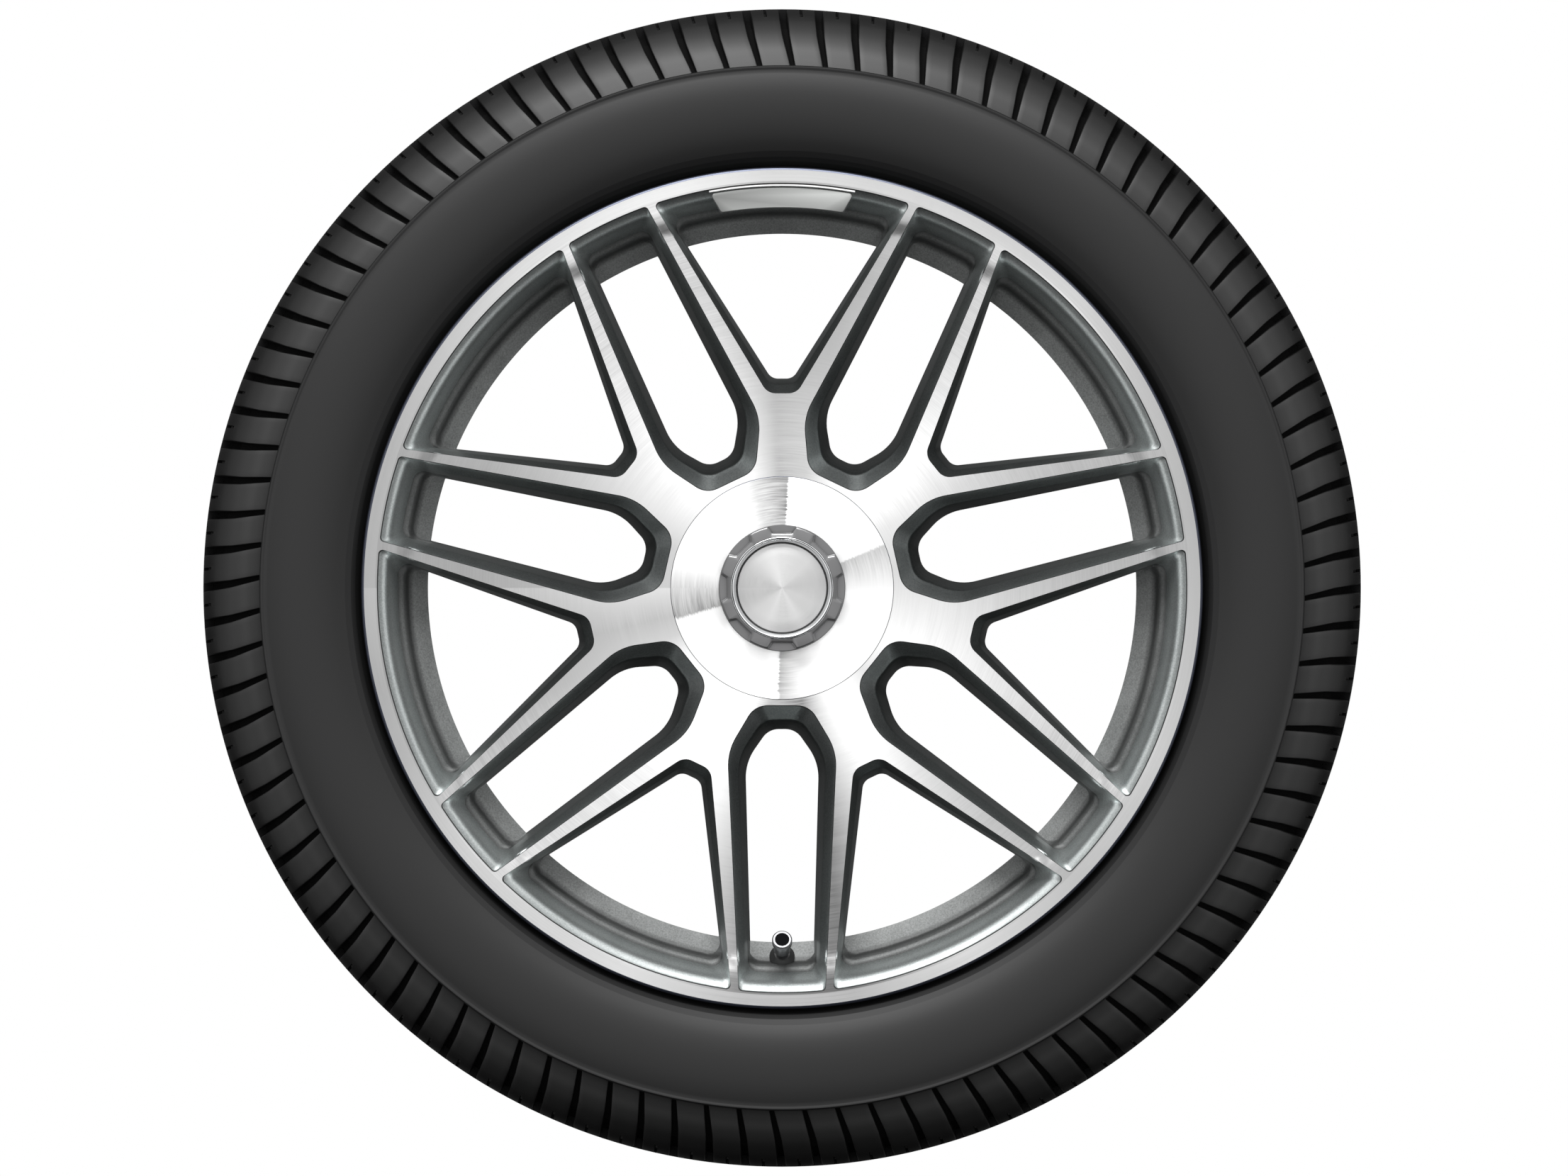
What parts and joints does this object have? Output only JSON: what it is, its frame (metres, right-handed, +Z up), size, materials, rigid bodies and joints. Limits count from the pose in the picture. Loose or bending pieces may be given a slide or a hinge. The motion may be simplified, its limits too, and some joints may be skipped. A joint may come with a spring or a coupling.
{
  "type": "alloy wheel with tyre",
  "caption": "Forged alloy wheel with forked spokes, turned face and dark pockets, fitted with a low tyre, a screwed hub cover and a tyre valve.",
  "frame": {"origin": "the wheel's centre: on its axis, in the middle plane of the tyre and of the rim", "axes": "+Y along the axis of rotation towards the car, so the face looks towards -Y; +Z up, with the valve at the bottom; +X to the right as seen from outside"},
  "size_m": [0.7808, 0.282, 0.7808],
  "materials": {
    "turned_alloy": "turned face with fine rings and clear lacquer, pockets and barrel painted in dark green-grey metallic",
    "turned_cover": "turned, with fine rings",
    "tyre": "satin black rubber",
    "grey_nut": "satin grey metallic paint",
    "bright_ring": "polished",
    "satin_disc": "satin, plain",
    "bare_alloy": "machined",
    "seal_rubber": "matt black",
    "spring_steel": "bright",
    "valve_metal": "polished",
    "brass": "turned",
    "dark_insert": "matt black, plain",
    "sensor_plastic": "matt black"
  },
  "bodies": {
    "wheel": {"alloy_wheel": "turned_alloy", "tyre": "tyre", "cap_carrier": "bare_alloy", "valve_grommet": "seal_rubber", "valve_stem": "valve_metal", "valve_core_barrel": "brass", "valve_core_seal": "seal_rubber", "valve_spring": "spring_steel", "sensor_housing": "sensor_plastic", "sensor_screw": "spring_steel"},
    "hub_cover": {"hub_cover": "turned_cover", "cover_gasket": "seal_rubber"},
    "cap_nut": {"cap_nut": "grey_nut", "cap_seal": "seal_rubber", "cap_bezel": "bright_ring", "cap_disc": "satin_disc", "retaining_ring": "spring_steel"},
    "valve_cap_seal": {"valve_cap_seal": "seal_rubber"},
    "valve_cap": {"valve_cap": "valve_metal", "valve_cap_insert": "dark_insert"},
    "core_pin": {"valve_core_pin": "brass", "valve_core_cup": "seal_rubber"}
  },
  "joints": [
    {"name": "cover_slide", "type": "slide", "parent": "wheel", "child": "hub_cover", "axis": [0, -1, 0], "range_m": [0, 0.012]},
    {"name": "cap_nut_turn", "type": "hinge", "parent": "hub_cover", "child": "cap_nut", "pos_m": [0, -0.112, 0], "axis": [0, -1, 0], "range_deg": [0, 1080]},
    {"name": "valve_cap_slide", "type": "slide", "parent": "wheel", "child": "valve_cap_seal", "axis": [0, -0.9063, 0.4226], "range_m": [0, 0.0056]},
    {"name": "valve_cap_turn", "type": "hinge", "parent": "valve_cap_seal", "child": "valve_cap", "pos_m": [0, -0.0915, -0.249], "axis": [0, -0.9063, 0.4226], "range_deg": [0, 2520]},
    {"name": "core_pin_press", "type": "slide", "parent": "wheel", "child": "core_pin", "axis": [0, 0.9063, -0.4226], "range_m": [0, 0.0013], "stiffness_N_per_m": 400, "springref_m": -0.002, "deforming": ["valve_spring"]}
  ],
  "couplings": [
    {"joint": "cover_slide", "follows": "cap_nut_turn", "m_per_rad": 0.00063662},
    {"joint": "valve_cap_slide", "follows": "valve_cap_turn", "m_per_rad": 0.00012637}
  ]
}
